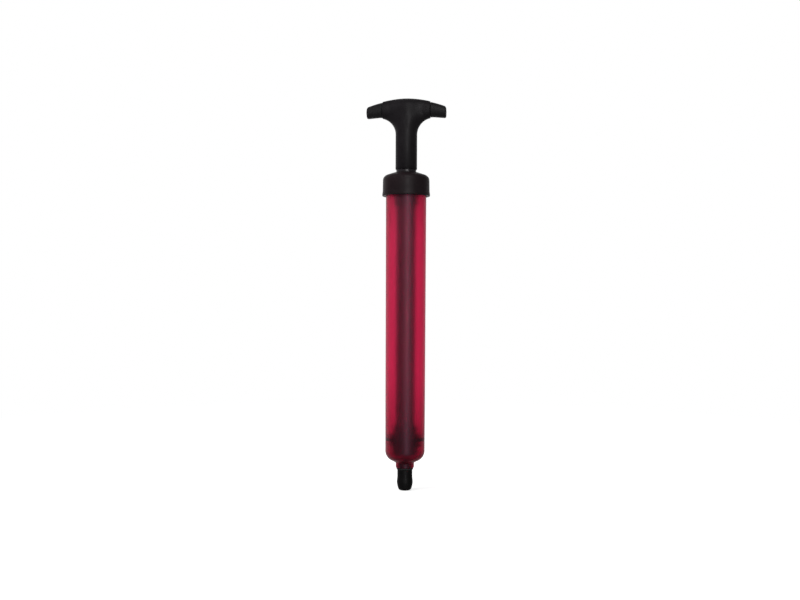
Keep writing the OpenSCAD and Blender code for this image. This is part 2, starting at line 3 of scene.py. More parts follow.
import bmesh
import bpy
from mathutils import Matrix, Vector


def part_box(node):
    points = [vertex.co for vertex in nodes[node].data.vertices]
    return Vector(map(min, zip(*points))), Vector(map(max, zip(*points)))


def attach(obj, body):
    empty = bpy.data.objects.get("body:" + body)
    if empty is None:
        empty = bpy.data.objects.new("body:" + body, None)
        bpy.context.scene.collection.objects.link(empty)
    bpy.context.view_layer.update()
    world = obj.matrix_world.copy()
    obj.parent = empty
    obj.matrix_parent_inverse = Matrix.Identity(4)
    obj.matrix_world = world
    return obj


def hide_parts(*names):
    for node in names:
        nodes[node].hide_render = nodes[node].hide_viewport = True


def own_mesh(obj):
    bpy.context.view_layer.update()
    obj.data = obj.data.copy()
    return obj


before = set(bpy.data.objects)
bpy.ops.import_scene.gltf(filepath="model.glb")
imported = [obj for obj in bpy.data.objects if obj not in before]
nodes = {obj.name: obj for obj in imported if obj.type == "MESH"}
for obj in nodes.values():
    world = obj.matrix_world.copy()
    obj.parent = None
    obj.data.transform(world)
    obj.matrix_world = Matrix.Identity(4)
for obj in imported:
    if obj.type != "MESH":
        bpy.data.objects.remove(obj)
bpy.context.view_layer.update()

# Hand ball pump. The frame gives the heights and the largest radii, and outlines are in millimetres.
scene = bpy.context.scene
MM = 0.001


def heights(node):
    """Lowest and highest level of a node, in millimetres."""
    low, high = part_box(node)
    return low.z / MM, high.z / MM


def radius(node):
    """Largest radius of a turned node, in millimetres."""
    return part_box(node)[1].x / MM


# Camera: level with the middle of the pump and a little to the right of its front
CAMERA_DISTANCE = 0.78
CAMERA_HEIGHT = 0.1479
CAMERA_TURN = radians(5.7)
CAMERA_PAN = radians(0.323)
CAMERA_ROLL = radians(0.27)
CAMERA_LENS = 45.0
CAMERA_SENSOR = 36.0

camera = bpy.data.objects.new("camera", bpy.data.cameras.new("camera"))
scene.collection.objects.link(camera)
camera.data.lens = CAMERA_LENS
camera.data.sensor_width = CAMERA_SENSOR
camera.location = (
    CAMERA_DISTANCE * sin(CAMERA_TURN),
    -CAMERA_DISTANCE * cos(CAMERA_TURN),
    CAMERA_HEIGHT,
)
camera.rotation_euler = (pi / 2, -CAMERA_ROLL, CAMERA_TURN + CAMERA_PAN)
scene.camera = camera
scene.view_settings.view_transform = "Standard"


def colour(red, green, blue):
    return (red, green, blue, 1.0)


class Graph:
    """A node tree and short ways to add its nodes."""

    def __init__(self, tree):
        self.tree = tree

    def node(self, kind, inputs=None, **settings):
        """A node whose inputs are either linked from a socket or set to a value."""
        made = self.tree.nodes.new(kind)
        for key, value in settings.items():
            setattr(made, key, value)
        for key, value in (inputs or {}).items():
            if isinstance(value, bpy.types.NodeSocket):
                self.tree.links.new(value, made.inputs[key])
            else:
                made.inputs[key].default_value = value
        return made

    def math(self, operation, a, b):
        return self.node("ShaderNodeMath", {0: a, 1: b}, operation=operation).outputs[0]

    def spread(self, source, low, high, start=0.3, end=0.7):
        """A value that goes softly from low to high as the source goes from start to end."""
        return self.node(
            "ShaderNodeMapRange",
            {"Value": source, "From Min": start, "From Max": end, "To Min": low, "To Max": high},
            interpolation_type="SMOOTHSTEP",
        ).outputs["Result"]

    def background_rays(self):
        """1 for rays that go straight or through clear plastic, and 1 for these and reflections."""
        rays = self.node("ShaderNodeLightPath").outputs
        direct = self.math("MAXIMUM", rays["Is Camera Ray"], rays["Is Transmission Ray"])
        return direct, self.math("MAXIMUM", direct, rays["Is Glossy Ray"])


class Shader(Graph):
    """A procedural material with a Principled surface."""

    def __init__(self, name, **constants):
        self.material = bpy.data.materials.new(name)
        self.material.use_nodes = True
        super().__init__(self.material.node_tree)
        self.surface = self.tree.nodes["Principled BSDF"]
        self.place = self.node("ShaderNodeTexCoord").outputs["Object"]
        for socket, value in constants.items():
            self.surface.inputs[socket.replace("_", " ")].default_value = value

    def feed(self, socket, source):
        self.tree.links.new(source, self.surface.inputs[socket])

    def stretched(self, x, y, z):
        """The object's own coordinates, scaled along each axis."""
        return self.node(
            "ShaderNodeVectorMath", {0: self.place, 1: (x, y, z)}, operation="MULTIPLY"
        ).outputs[0]

    def noise(self, scale, detail=4.0, rough=0.55, place=None):
        """Noise with that many cycles per metre."""
        return self.node(
            "ShaderNodeTexNoise",
            {"Vector": place or self.place, "Scale": scale, "Detail": detail, "Roughness": rough},
        ).outputs["Fac"]

    def blend(self, share, a, b):
        """A colour from a to b."""
        return self.node(
            "ShaderNodeMix", {"Factor": share, 6: a, 7: b}, data_type="RGBA"
        ).outputs[2]

    def tones(self, source, dark, light):
        """A colour that wanders between two tones with a noise."""
        return self.blend(self.spread(source, 0.0, 1.0), colour(*dark), colour(*light))

    def bump(self, height, depth):
        """A normal from a height between 0 and 1, depth millimetres deep."""
        inputs = {"Height": height, "Distance": depth * MM, "Strength": 1.0}
        return self.node("ShaderNodeBump", inputs).outputs["Normal"]

    def edges(self, start, end):
        """0 on flat faces, up to 1 on sharp outer edges."""
        source = self.node("ShaderNodeNewGeometry").outputs["Pointiness"]
        return self.spread(source, 0.0, 1.0, start, end)


# Moulded plastics: wear on the edges and how far the gloss varies
WEAR_SHARE = 0.6
WEAR_LIGHTER = 2.2
MOULDED_VARIES = 0.06


def moulded(name, dark, light, grain, depth, rough, specular):
    """Moulded plastic: mottled colour, a fine grain, uneven gloss and edges rubbed a little lighter."""
    shader = Shader(name, Specular_IOR_Level=specular)
    tone = shader.tones(shader.noise(scale=90.0, detail=5.0), dark, light)
    patchy = shader.spread(shader.noise(scale=400.0), 0.0, WEAR_SHARE)
    worn = shader.math("MULTIPLY", shader.edges(start=0.52, end=0.62), patchy)
    rubbed = colour(*[WEAR_LIGHTER * c for c in light])
    shader.feed("Base Color", shader.blend(worn, tone, rubbed))
    patches = shader.noise(scale=220.0, detail=6.0)
    shader.feed("Roughness", shader.spread(patches, rough - MOULDED_VARIES, rough + MOULDED_VARIES))
    shader.feed("Normal", shader.bump(shader.noise(grain, detail=2.0), depth))
    return shader.material


# See-through red plastic: levels are in metres above the pump's lower end
RED_INDEX = 1.45
RED_GLOSS = (0.9, 0.5, 0.7)
RED_ROUGHER = 0.05
RED_SMOOTHER = 0.04
RED_WAVES = 0.03
# Painted shade: levels over which the colour darkens towards the foot
FOOT_SHADE_LEVELS = (0.022, 0.1)
# Painted shadow of the cap: levels over which the colour darkens up to the rim, and how far
CAP_SHADOW_LEVELS = (0.19, 0.226)
CAP_SHADOW_SHARE = 0.4
# Darkest in the floor above the neck: the depth of the solid plastic there and painted shade together
NECK_TO_FLOOR = (0.022, 0.024)
FLOOR_TO_BORE = (0.0255, 0.0295)
FLOOR_DEPTH_AND_SHADE = 0.45


def clear_red(name, tint, deep, foot, weight, rough):
    """See-through red plastic with flow streaks, small scuffs and a satin surface.

    The colour darkens towards both ends as painted shade: towards the foot, and just under the cap as the
    cap's painted shadow. It is darkest in the floor above the neck, for the depth of the solid plastic there
    and painted shade together.
    """
    shader = Shader(name, Transmission_Weight=weight, IOR=RED_INDEX, Specular_Tint=colour(*RED_GLOSS))
    streaks = shader.noise(scale=60.0, detail=4.0, place=shader.stretched(1.0, 1.0, 0.08))
    tone = shader.tones(streaks, tint, deep)
    level = shader.node("ShaderNodeSeparateXYZ", {0: shader.place}).outputs["Z"]
    # Painted shade towards the foot and neck
    low = shader.spread(level, 1.0, 0.0, *FOOT_SHADE_LEVELS)
    # Painted shadow of the cap, just under its rim
    high = shader.spread(level, 0.0, CAP_SHADOW_SHARE, *CAP_SHADOW_LEVELS)
    tone = shader.blend(shader.math("MAXIMUM", low, high), tone, colour(*foot))
    # Depth of the solid floor and painted shade, between the neck and the bore
    above_neck = shader.spread(level, 0.0, 1.0, *NECK_TO_FLOOR)
    below_bore = shader.spread(level, 1.0, 0.0, *FLOOR_TO_BORE)
    floor_depth_and_shade_mask = shader.math("MULTIPLY", above_neck, below_bore)
    shader.feed("Base Color", shader.blend(floor_depth_and_shade_mask, tone, colour(*[FLOOR_DEPTH_AND_SHADE * c for c in foot])))
    scuffs = shader.noise(scale=700.0, detail=6.0, rough=0.7, place=shader.stretched(1.0, 1.0, 0.2))
    shader.feed("Roughness", shader.spread(scuffs, rough - RED_SMOOTHER, rough + RED_ROUGHER))
    shader.feed("Normal", shader.bump(shader.noise(scale=140.0, detail=2.0), RED_WAVES))
    return shader.material


def drawn_tube(name, dark, light, smooth, rough, depth):
    """Extruded dark tube with faint lines along its length."""
    shader = Shader(name, Specular_IOR_Level=0.3)
    lines = shader.noise(scale=1500.0, detail=3.0, place=shader.stretched(1.0, 1.0, 0.01))
    shader.feed("Base Color", shader.tones(lines, dark, light))
    shader.feed("Roughness", shader.spread(lines, smooth, rough))
    shader.feed("Normal", shader.bump(lines, depth))
    return shader.material


def rubber(name, dark, light, smooth, rough, depth):
    """Soft black rubber with a dusty bloom."""
    shader = Shader(name, Specular_IOR_Level=0.25)
    bloom = shader.noise(scale=500.0, detail=6.0, rough=0.65)
    shader.feed("Base Color", shader.tones(bloom, dark, light))
    shader.feed("Roughness", shader.spread(bloom, smooth, rough))
    shader.feed("Normal", shader.bump(shader.noise(scale=3000.0, detail=3.0), depth))
    return shader.material


def metal(name, dark, light, smooth, rough, depth):
    """Metal with fine marks round the axis."""
    shader = Shader(name, Metallic=1.0)
    marks = shader.noise(scale=2500.0, detail=4.0, place=shader.stretched(0.15, 0.15, 1.0))
    shader.feed("Base Color", shader.tones(marks, dark, light))
    shader.feed("Roughness", shader.spread(marks, smooth, rough))
    shader.feed("Normal", shader.bump(marks, depth))
    return shader.material


BLACK = moulded(
    "black_moulding", dark=(0.0118, 0.0098, 0.0116), light=(0.0148, 0.0126, 0.0146),
    grain=2600.0, depth=0.04, rough=0.46, specular=0.12,
)
CAP = moulded(
    "cap_moulding", dark=(0.0145, 0.0088, 0.0105), light=(0.0185, 0.0115, 0.0135),
    grain=2600.0, depth=0.04, rough=0.46, specular=0.12,
)
NOZZLE = moulded(
    "nozzle_moulding", dark=(0.0055, 0.005, 0.0052), light=(0.0075, 0.0068, 0.007),
    grain=2600.0, depth=0.03, rough=0.46, specular=0.1,
)
GRIP = moulded(
    "grip_moulding", dark=(0.0132, 0.0125, 0.0136), light=(0.0164, 0.0156, 0.0168),
    grain=1800.0, depth=0.09, rough=0.5, specular=0.12,
)
ACETAL = moulded(
    "black_acetal", dark=(0.005, 0.0045, 0.005), light=(0.008, 0.007, 0.008),
    grain=2600.0, depth=0.01, rough=0.42, specular=0.3,
)
NYLON = moulded(
    "natural_nylon", dark=(0.56, 0.54, 0.48), light=(0.7, 0.68, 0.61),
    grain=2600.0, depth=0.01, rough=0.45, specular=0.5,
)
RED_SKIN = clear_red(
    "red_clear_skin", tint=(0.65, 0.016, 0.08), deep=(0.59, 0.012, 0.066), foot=(0.29, 0.0035, 0.024),
    weight=0.975, rough=0.44,
)
RED_BORE = clear_red(
    "red_clear_bore", tint=(0.99, 0.95, 0.96), deep=(0.98, 0.92, 0.94), foot=(0.98, 0.92, 0.94),
    weight=1.0, rough=0.26,
)
ROD = drawn_tube(
    "rod_tube", dark=(0.02, 0.017, 0.02), light=(0.032, 0.027, 0.031), smooth=0.26, rough=0.36, depth=0.01
)
RUBBER = rubber(
    "black_rubber", dark=(0.009, 0.009, 0.0095), light=(0.022, 0.022, 0.023),
    smooth=0.6, rough=0.8, depth=0.015,
)
BLACK_STEEL = metal(
    "black_steel", dark=(0.045, 0.045, 0.05), light=(0.09, 0.09, 0.1), smooth=0.32, rough=0.48, depth=0.01
)
SPRING_STEEL = metal(
    "spring_steel", dark=(0.5, 0.5, 0.51), light=(0.66, 0.66, 0.67), smooth=0.22, rough=0.38, depth=0.01
)

# Outlines and meshes: how fine they are, and where an edge counts as sharp
ARC_STEP = radians(9)
NEARLY_STRAIGHT = radians(89)
CREASE = radians(50)
WELD = 0.0005
SEGMENTS = 192


def arc_points(centre, r, start, turn):
    """Points on an arc, from a start angle through a turn."""
    steps = max(2, ceil(abs(turn) / ARC_STEP))
    return [
        (centre[0] + r * cos(start + turn * k / steps), centre[1] + r * sin(start + turn * k / steps))
        for k in range(steps + 1)
    ]


def rounded(corners):
    """Points of a closed outline from corners (radius, height, rounding)."""
    points = []
    for i, (r, z, rounding) in enumerate(corners):
        here = Vector((r, z))
        back = (Vector(corners[i - 1][:2]) - here).normalized()
        ahead = (Vector(corners[(i + 1) % len(corners)][:2]) - here).normalized()
        half = back.angle(ahead) / 2
        if rounding == 0 or half > NEARLY_STRAIGHT:
            points.append((r, z))
            continue
        start = here + back * rounding / tan(half)
        end = here + ahead * rounding / tan(half)
        centre = here + (back + ahead).normalized() * rounding / sin(half)
        first = atan2(start.y - centre.y, start.x - centre.x)
        last = atan2(end.y - centre.y, end.x - centre.x)
        points += arc_points(centre, rounding, first, (last - first + pi) % (2 * pi) - pi)
    return points


class Form:
    """Points and faces of a mesh, added as skins of rings and welded at the end."""

    def __init__(self):
        self.points = []
        self.faces = []

    def skin(self, rings, around=True, closed=False):
        """Quads between rows of points.

        Around joins each row's two ends, and closed joins the last row to the first.
        """
        base = len(self.points)
        width = len(rings[0])
        for ring in rings:
            self.points += ring
        rows = len(rings)
        for i in range(rows if closed else rows - 1):
            for k in range(width if around else width - 1):
                a = base + i * width + k
                b = base + i * width + (k + 1) % width
                c = base + (i + 1) % rows * width + (k + 1) % width
                d = base + (i + 1) % rows * width + k
                self.faces.append((a, b, c, d))

    def lid(self, ring):
        """One face that closes a ring."""
        base = len(self.points)
        self.points += ring
        self.faces.append(tuple(range(base, base + len(ring))))

    def bar(self, rings):
        """A skin with both ends closed."""
        self.skin(rings)
        self.lid(rings[0])
        self.lid(rings[-1])

    def mesh(self, name, crease=CREASE):
        mesh = bpy.data.meshes.new(name)
        mesh.from_pydata([Vector(p) * MM for p in self.points], [], self.faces)
        work = bmesh.new()
        work.from_mesh(mesh)
        bmesh.ops.remove_doubles(work, verts=work.verts, dist=WELD * MM)
        bmesh.ops.recalc_face_normals(work, faces=work.faces)
        work.to_mesh(mesh)
        work.free()
        mesh.shade_smooth()
        mesh.set_sharp_from_angle(angle=crease)
        return mesh


def full_turn(count):
    """Angles of that many even steps round a circle."""
    return [2 * pi * k / count for k in range(count)]


def circle(r, z, count):
    return [(r * cos(a), r * sin(a), z) for a in full_turn(count)]


def turned(name, corners):
    """A ring-shaped piece turned about Z from a closed half outline."""
    form = Form()
    form.skin([circle(r, z, SEGMENTS) for r, z in rounded(corners)], closed=True)
    return form.mesh(name)


def place(name, mesh, material, body, slot, node=None):
    """Puts a mesh on a body, in place of a node where one is named."""
    piece = bpy.data.objects.new(name, mesh)
    scene.collection.objects.link(piece)
    mesh.materials.append(material)
    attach(piece, body)
    if node:
        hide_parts(node)
    return piece


# Roundings of plain edges and of inner corners, and the gap of a press fit
EASE = 0.25
SMALL_EASE = 0.1
PRESS_GAP = 0.05

# Barrel: drafted tube, rounded foot, neck and a rim eased on both sides
NECK_END, RIM_Z = heights("barrel")
RIM_R = radius("barrel")
NECK_LENGTH = 4.8
FLOOR_WALL = 2.95
FOOT_R = 15.3
BORE_R = 13.75
NECK_R = 7.1
NECK_BORE_R = 5.5
NECK_THREAD_R = 6.1
NECK_THREAD_Z = heights("nozzle")[1]
FOOT_ROUND = 8.2
NECK_FILLET = 2.0
FOOT_Z = NECK_END + NECK_LENGTH
FLOOR_Z = FOOT_Z + FLOOR_WALL

barrel_corners = [
    (NECK_BORE_R, FLOOR_Z, EASE),
    (NECK_BORE_R, NECK_THREAD_Z, SMALL_EASE),
    (NECK_THREAD_R, NECK_THREAD_Z, SMALL_EASE),
    (NECK_THREAD_R, NECK_END, EASE),
    (NECK_R, NECK_END, EASE),
    (NECK_R, FOOT_Z, NECK_FILLET),
    (FOOT_R, FOOT_Z, FOOT_ROUND),
    (RIM_R, RIM_Z, EASE),
    (BORE_R, RIM_Z, EASE),
    (BORE_R, FLOOR_Z, FOOT_ROUND + BORE_R - FOOT_R),
]
barrel = place(
    "clear_barrel", turned("clear_barrel", barrel_corners), RED_SKIN, "barrel", "red_clear_plastic", "barrel"
)

# The barrel's inner faces, level ones too, have the clearer material of the bore
OUTWARD = 0.1
barrel.data.materials.append(RED_BORE)
for face in barrel.data.polygons:
    middle = face.center / MM
    across = hypot(middle.x, middle.y)
    in_neck = middle.z < FLOOR_Z - FLOOR_WALL / 2
    inner_r = (NECK_THREAD_R if in_neck else BORE_R) + EASE
    faces_out = face.normal.xy.dot(middle.xy) >= OUTWARD * across
    face.material_index = 0 if across >= inner_r or faces_out else 1

# Cap: skirt with a lip, rounded top edge and a low cone
CAP_RIM_Z, CAP_TOP_Z = heights("cap")
LIP_R = radius("cap")
CAP_LIP = 0.5
CAP_R = LIP_R - CAP_LIP
CAP_EDGE = 4.5
CAP_CONE = 2.97
CAP_TOP_WALL = 3.2
LIP_HEIGHT = 1.5
LIP_END = 3.7
LIP_LOW_ROUND = 0.45
LIP_HIGH_ROUND = 0.6
LIP_FADE = 2.0
GUIDE_HOLE_R = 9.33
CAP_BORE_R = 15.85
CEILING_Z = CAP_TOP_Z - CAP_TOP_WALL
cap_corners = [
    (CAP_BORE_R, CEILING_Z, EASE),
    (CAP_BORE_R, CAP_RIM_Z, EASE),
    (LIP_R, CAP_RIM_Z, LIP_LOW_ROUND),
    (LIP_R, CAP_RIM_Z + LIP_HEIGHT, LIP_HIGH_ROUND),
    (CAP_R + CAP_LIP / 3, CAP_RIM_Z + LIP_END, LIP_FADE),
    (CAP_R, CAP_TOP_Z - CAP_CONE, CAP_EDGE),
    (GUIDE_HOLE_R, CAP_TOP_Z, EASE),
    (GUIDE_HOLE_R, CEILING_Z, SMALL_EASE),
]
place("end_cap", turned("end_cap", cap_corners), CAP, "barrel", "black_plastic", "cap")

# Nozzle: rounded nose, finger bulge, and the needle socket at its thread's outer diameter
NOZZLE_LENGTH = heights("nozzle_washer")[0]
NOZZLE_TOP_Z = heights("nozzle")[1]
NOZZLE_R = 5.85
BULGE = radius("nozzle") - NOZZLE_R
BULGE_Z = 6.6
BULGE_REACH = 4.2
BULGE_END = BULGE_Z + BULGE_REACH
NOSE_HEIGHT = 5.0
TIP_LIP = 0.25
SOCKET_R = 3.45
SOCKET_CLEARANCE = 0.02
SOCKET_CREST_R = SOCKET_R + SOCKET_CLEARANCE
SOCKET_DEEP_R = 3.85
MOUTH_LAND = 0.4
MOUTH_BEVEL_Z = 0.8
SPIGOT_R = 5.4
SPIGOT_ROOT_R = 5.2
SPIGOT_CREST_R = 6.0
GASKET_Z, GASKET_TOP_Z = heights("needle_gasket")
AIR_R = 1.3
SPRING_Z = 12.6
CHAMBER_R = 3.3
SEAT_Z = heights("valve_seat")[0]
SEAT_BORE_R = 4.0
NOSE_STEPS = 16
BULGE_STEPS = 20


def nozzle_corner(z):
    """Corner of the nozzle's outer outline at a level."""
    away = abs(z - BULGE_Z) / BULGE_REACH
    r = NOZZLE_R + (BULGE * (1 + cos(pi * away)) / 2 if away < 1 else 0)
    if z < NOSE_HEIGHT:
        r -= (NOZZLE_R - SOCKET_R - TIP_LIP) * (1 - sqrt(1 - (1 - z / NOSE_HEIGHT) ** 2))
    return (r, z, 0)


nose_corners = [nozzle_corner(NOSE_HEIGHT * (1 - cos(pi / 2 * i / NOSE_STEPS))) for i in range(NOSE_STEPS)]
bulge_corners = [
    nozzle_corner(NOSE_HEIGHT + (BULGE_END - NOSE_HEIGHT) * i / BULGE_STEPS) for i in range(BULGE_STEPS + 1)
]
nozzle_corners = [
    (SOCKET_DEEP_R, GASKET_TOP_Z, 0),
    (SOCKET_DEEP_R, MOUTH_BEVEL_Z, 0),
    (SOCKET_CREST_R, MOUTH_LAND, 0),
    (SOCKET_CREST_R, 0, 0),
    *nose_corners,
    *bulge_corners,
    (NOZZLE_R, NOZZLE_LENGTH, EASE),
    (SPIGOT_ROOT_R, NOZZLE_LENGTH, SMALL_EASE),
    (SPIGOT_ROOT_R, NOZZLE_TOP_Z, EASE),
    (SEAT_BORE_R, NOZZLE_TOP_Z, SMALL_EASE),
    (SEAT_BORE_R, SEAT_Z, 0),
    (CHAMBER_R, SEAT_Z, SMALL_EASE),
    (CHAMBER_R, SPRING_Z, SMALL_EASE),
    (AIR_R, SPRING_Z, SMALL_EASE),
    (AIR_R, GASKET_TOP_Z, 0),
]
place("needle_nozzle", turned("needle_nozzle", nozzle_corners), NOZZLE, "barrel", "black_plastic", "nozzle")

# Screw threads: a ridge along a helix that fades into the wall at both ends
THREAD_STEPS = 48
THREAD_CREASE = radians(30)
FADE_TURN = 0.3
FADED_SHARE = 0.02
SINK = 0.08
HALF_ROOT = 0.42
HALF_CREST = 0.12


def thread(name, wall_r, crest_r, low, high, pitch):
    """A ridge on a round wall, outwards or inwards, with a flat crest."""
    turns = (high - low) / pitch
    count = ceil(turns * THREAD_STEPS)
    root_r = wall_r + (SINK if crest_r < wall_r else -SINK)
    rings = []
    for i in range(count + 1):
        at = i / THREAD_STEPS
        fade = min(1.0, at / FADE_TURN, (turns - at) / FADE_TURN)
        top_r = wall_r + (crest_r - wall_r) * max(FADED_SHARE, fade)
        z = low + pitch * at
        a = 2 * pi * at
        outline = [(root_r, -HALF_ROOT), (top_r, -HALF_CREST), (top_r, HALF_CREST), (root_r, HALF_ROOT)]
        rings.append([(r * cos(a), r * sin(a), z + pitch * shift) for r, shift in outline])
    form = Form()
    form.bar(rings)
    place(name, form.mesh(name, THREAD_CREASE), NOZZLE, "barrel", "black_plastic")


SOCKET_PITCH = 0.8
SOCKET_RUN_IN = 1.4
SOCKET_RUN_OUT = 0.8
SPIGOT_PITCH = 1.25
SPIGOT_RUN_IN = 0.3
SPIGOT_RUN_OUT = 0.6
thread(
    "socket_thread", SOCKET_DEEP_R, SOCKET_CREST_R,
    low=SOCKET_RUN_IN, high=GASKET_Z - SOCKET_RUN_OUT, pitch=SOCKET_PITCH,
)
thread(
    "spigot_thread", SPIGOT_ROOT_R, SPIGOT_CREST_R,
    low=NECK_END + SPIGOT_RUN_IN, high=NOZZLE_TOP_Z - SPIGOT_RUN_OUT, pitch=SPIGOT_PITCH,
)


def ring_mesh(name, node, inner_r, inner_ease, outer_ease):
    """A plain ring or tube between the levels of its node."""
    low, high = heights(node)
    outer_r = radius(node)
    return turned(name, [
        (inner_r, low, inner_ease),
        (outer_r, low, outer_ease),
        (outer_r, high, outer_ease),
        (inner_r, high, inner_ease),
    ])


# Washer between the neck and the nozzle
WASHER_ROUND = 0.5
washer_mesh = ring_mesh("neck_washer", "nozzle_washer", SPIGOT_R + PRESS_GAP, SMALL_EASE, WASHER_ROUND)
place("neck_washer", washer_mesh, RUBBER, "barrel", "black_rubber", "nozzle_washer")

# Rod: a plain tube
ROD_R = radius("rod")
ROD_WALL = 1.5
ROD_EASE = 0.2
ROD_BORE_R = ROD_R - ROD_WALL
rod_mesh = ring_mesh("plunger_rod", "rod", ROD_BORE_R, ROD_EASE, ROD_EASE)
place("plunger_rod", rod_mesh, ROD, "plunger", "rod_plastic", "rod")

# Stop collar on the rod
COLLAR_ROUND = 0.75
collar_mesh = ring_mesh("stop_collar", "stop_bumper", ROD_R + PRESS_GAP, SMALL_EASE, COLLAR_ROUND)
place("stop_collar", collar_mesh, RUBBER, "plunger", "black_rubber", "stop_bumper")

# O-ring: pressed flat where it meets the bore
ring_low, ring_high = heights("o_ring")
CORD_R = (ring_high - ring_low) / 2
RING_R = radius("o_ring") - CORD_R
SQUEEZE = 1.0
SEAL_PRESS = 0.01
CONTACT_R = BORE_R + SEAL_PRESS
CORD_SIDES = 48


def seal_circle(a):
    """Circle round the seal at an angle round its cord."""
    r = RING_R + (CORD_R + SQUEEZE * max(0, cos(a))) * cos(a)
    return circle(min(CONTACT_R, r), (ring_low + ring_high) / 2 + CORD_R * sin(a), SEGMENTS)


seal_form = Form()
seal_form.skin([seal_circle(a) for a in full_turn(CORD_SIDES)], closed=True)
place("piston_seal", seal_form.mesh("piston_seal"), RUBBER, "seal", "black_rubber", "o_ring")

# Spring under the poppet, coiled between the levels of its node
COIL_R = 2.1
WIRE_R = 0.2
COIL_TURNS = 4.5
COIL_STEPS = 48
WIRE_SIDES = 12
spring_low, spring_high = heights("valve_spring")
spring_rings = []
for i in range(int(COIL_TURNS * COIL_STEPS) + 1):
    a = 2 * pi * i / COIL_STEPS
    z = spring_low + WIRE_R + (spring_high - spring_low - 2 * WIRE_R) * i / (COIL_TURNS * COIL_STEPS)
    spring_rings.append([
        ((COIL_R + WIRE_R * cos(b)) * cos(a), (COIL_R + WIRE_R * cos(b)) * sin(a), z + WIRE_R * sin(b))
        for b in full_turn(WIRE_SIDES)
    ])
spring_form = Form()
spring_form.bar(spring_rings)
spring = place(
    "poppet_spring", spring_form.mesh("poppet_spring"), SPRING_STEEL, "barrel", "spring_steel", "valve_spring"
)
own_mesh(spring)

# T-handle: outline in X and Z, with the stem and its fillets below and the crown's long arc above
PLUG_Z, CROWN_Z = heights("handle")
STEM_Z = heights("rod")[1]
STEM_R = 8.4
PLUG_R = ROD_BORE_R - PRESS_GAP
CORE_R = 4.5
CORE_LENGTH = 36.5
STEM_CHAMFER = 0.5
HUB_FILLET = 13.0
ARM_HEIGHT = 15.2
UNDERSIDE_Z = CROWN_Z - ARM_HEIGHT
CROWN_RADIUS = 75.0
RIDGE_REACH = 13.0
SEAM_X = 18.6
SEAM_DEPTH = 11.6
SEAM_STEP = 0.55
TIP_DEPTH = 10.2
TIP_FLARE = 0.4
TIP_ROUND = 1.3
GRIP_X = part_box("right_grip")[0].x / MM
TIP_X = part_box("right_grip")[1].x / MM
FILLET_X = STEM_R + HUB_FILLET
FILLET_Z = UNDERSIDE_Z - HUB_FILLET
PIN_R = 2.8
PIN_END_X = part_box("handle")[1].x / MM


def arm_top(x):
    """Level of the arm's upper edge."""
    return CROWN_Z - CROWN_RADIUS + sqrt(CROWN_RADIUS**2 - x * x)


def arm_under(x):
    """Level of the arm's lower edge: the fillet, and then a slight fall to the tip."""
    if x < FILLET_X:
        return FILLET_Z + sqrt(HUB_FILLET**2 - (FILLET_X - x) ** 2)
    return UNDERSIDE_Z - TIP_FLARE * (x - FILLET_X) / (TIP_X - FILLET_X)


def inset_below(x, z):
    """Distance inside the outline of the stem and its fillet."""
    return STEM_R - x if z < FILLET_Z else hypot(FILLET_X - x, z - FILLET_Z) - HUB_FILLET


def swell(inset, reach):
    """How round the surface is at a distance inside the outline, from 0 at the edge to 1."""
    return 1.0 if inset >= reach else sqrt(1 - (1 - max(inset, 0) / reach) ** 2)


def ridge_depth(x):
    """Half depth of the handle at the belt: a ridge on the axis that runs out into the arms."""
    share = (1 + cos(pi * min(1.0, x / RIDGE_REACH))) / 2
    return SEAM_DEPTH / 2 + (STEM_R - SEAM_DEPTH / 2) * share


def belt_z(x):
    """Level of the line along the arm where it is deepest."""
    return arm_top(x) - min(STEM_R, (arm_top(x) - arm_under(max(x, STEM_R))) / 2)


PIN_Z = (arm_top(PIN_END_X) + UNDERSIDE_Z) / 2
COLUMNS = 20
LOW_ROWS = 24
ARM_ROWS = 36
CROWN_STEPS = 32
BELT_ANGLE = atan2(belt_z(0) - FILLET_Z, FILLET_X)
SEAM_ANGLE = acos((FILLET_X - SEAM_X) / HUB_FILLET)


def fillet_point(a):
    return (FILLET_X - HUB_FILLET * cos(a), FILLET_Z + HUB_FILLET * sin(a))


def hub_row(low, high, rise):
    """A row of the front right quarter, from the outline inwards to the belt or the middle.

    Rise goes from 0 on the round stem to 1 at the ridge.
    """
    reach = min(STEM_R, inset_below(*high))
    row = []
    for k in range(COLUMNS + 1):
        share = 1 - cos(pi / 2 * k / COLUMNS)
        x = low[0] + (high[0] - low[0]) * share
        z = low[1] + (high[1] - low[1]) * share
        depth = STEM_R + (ridge_depth(x) - STEM_R) * rise * rise * (3 - 2 * rise)
        half = depth * swell(inset_below(x, z), reach) if k else 0.0
        row.append((x, -half, z))
    return row


def quarter_rows():
    """Rows up the stem, round the fillet and out along the arm."""
    stem_low = STEM_Z + STEM_CHAMFER
    rows = [hub_row((STEM_R, stem_low), (0, stem_low), 0)]
    for i in range(LOW_ROWS + 1):
        level = FILLET_Z + (belt_z(0) - FILLET_Z) * i / LOW_ROWS
        rows.append(hub_row(fillet_point(BELT_ANGLE * i / LOW_ROWS), (0, level), i / LOW_ROWS))
    for i in range(1, ARM_ROWS + 1):
        x = SEAM_X * i / ARM_ROWS
        angle = BELT_ANGLE + (SEAM_ANGLE - BELT_ANGLE) * i / ARM_ROWS
        rows.append(hub_row(fillet_point(angle), (x, belt_z(x)), 1))
    return rows


def crown_rows():
    """Half ellipses across the crown, from the front belt to the back one."""
    rows = []
    for i in range(ARM_ROWS + 1):
        x = SEAM_X * i / ARM_ROWS
        rise = arm_top(x) - belt_z(x)
        rows.append([
            (x, -ridge_depth(x) * cos(a), belt_z(x) + rise * sin(a))
            for a in (pi * m / CROWN_STEPS for m in range(CROWN_STEPS + 1))
        ])
    return rows


